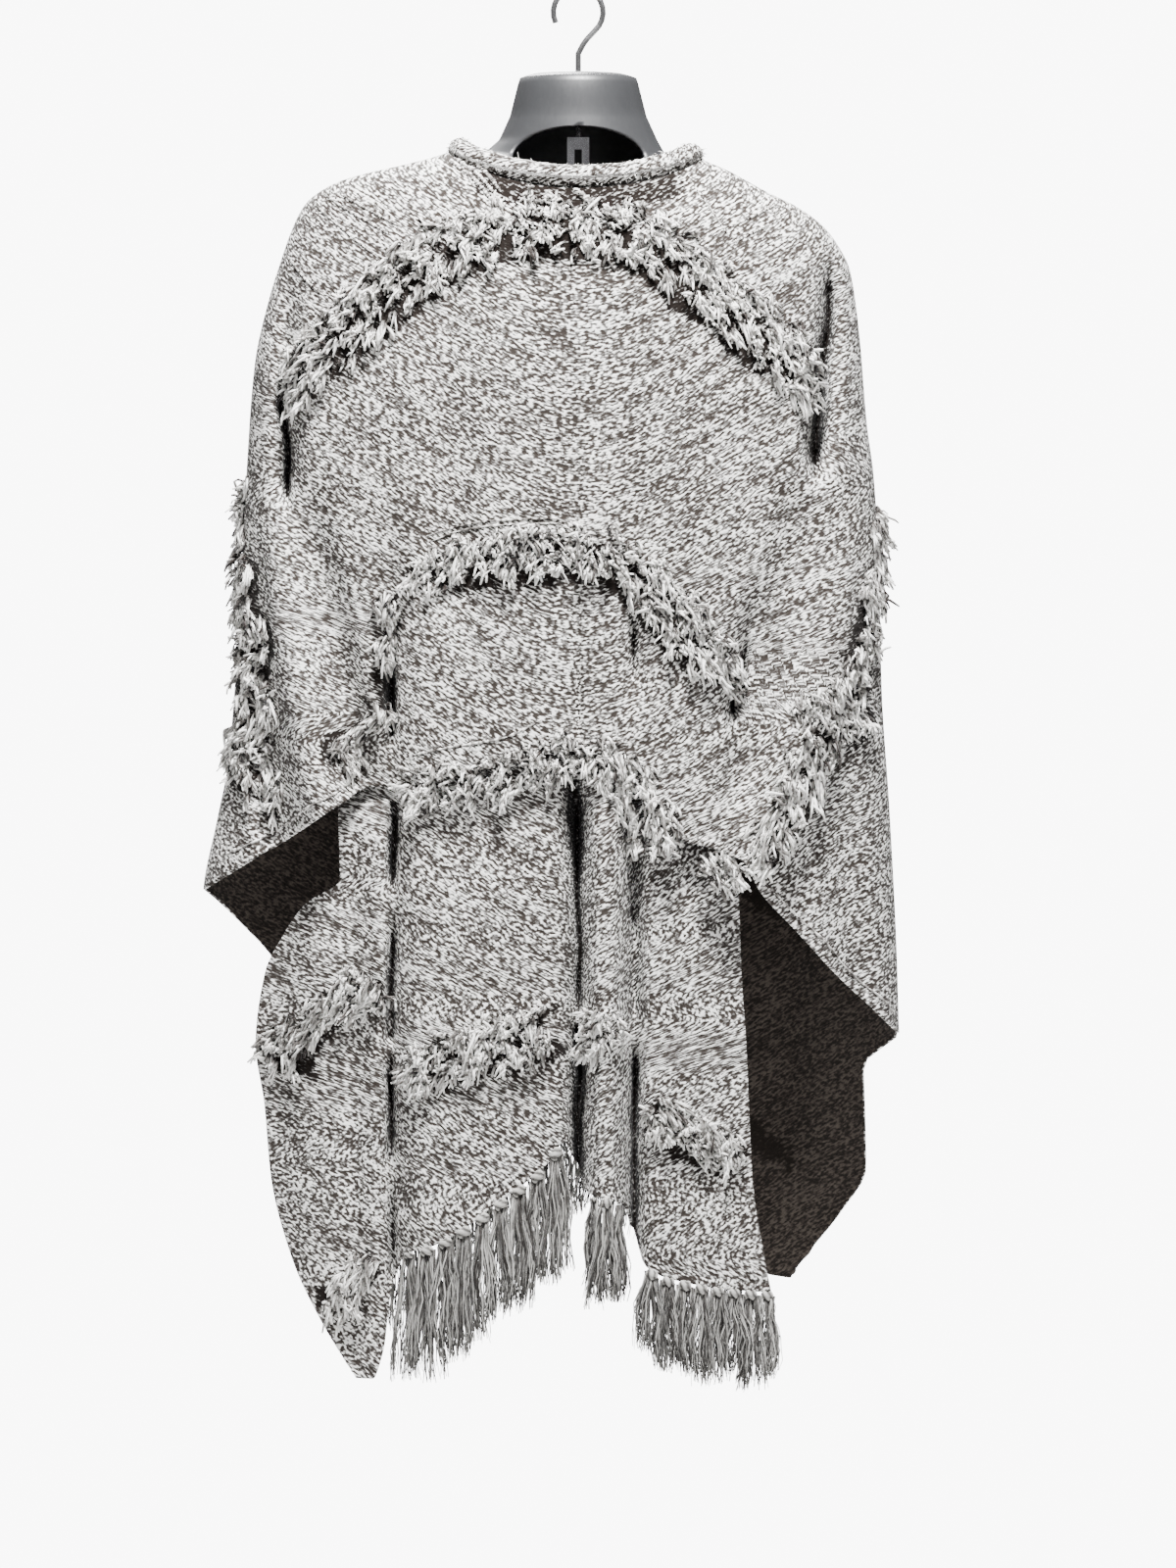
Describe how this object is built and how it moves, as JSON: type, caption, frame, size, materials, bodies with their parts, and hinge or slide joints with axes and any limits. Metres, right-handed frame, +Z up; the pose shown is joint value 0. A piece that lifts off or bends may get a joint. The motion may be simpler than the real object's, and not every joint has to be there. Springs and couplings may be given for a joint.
{
  "type": "poncho on a hanging torso form",
  "caption": "Woven marled poncho with shaggy yarn bands and a knotted hem fringe, draped on a hollow-backed torso form that hangs from a hook.",
  "frame": {"origin": "the point where the hook's inner curve bears on the rail that holds it", "axes": "+Z up, towards the hook; +Y from the garment's back towards its front; +X towards the garment's right side as its back is seen"},
  "size_m": [0.5704, 0.281, 1.1461],
  "materials": {
    "marled_cloth": "woven slub yarn, marled pale and dark grey",
    "shag_yarn": "loose looped shag",
    "fringe_yarn": "knotted yarn strands",
    "grey_plastic": "satin",
    "plated_steel": "polished"
  },
  "bodies": {
    "root": {"back_lower": "marled_cloth", "back_upper": "marled_cloth", "band_1": "shag_yarn", "band_1_left_drape": "shag_yarn", "band_1_right_drape": "shag_yarn", "band_2": "shag_yarn", "band_2_left_fold": "shag_yarn", "band_3": "shag_yarn", "band_4_column": "shag_yarn", "band_4_left": "shag_yarn", "band_4_middle": "shag_yarn", "band_4_right": "shag_yarn", "corner_roll": "shag_yarn", "form_shell": "grey_plastic", "fringe_column": "fringe_yarn", "fringe_left": "fringe_yarn", "fringe_right": "fringe_yarn", "front_band_1": "shag_yarn", "front_band_2": "shag_yarn", "front_band_3": "shag_yarn", "front_band_4": "shag_yarn", "front_cloth": "marled_cloth", "front_fringe": "fringe_yarn", "hook": "plated_steel", "hook_clip": "plated_steel", "neck_roll": "marled_cloth"}
  },
  "joints": []
}
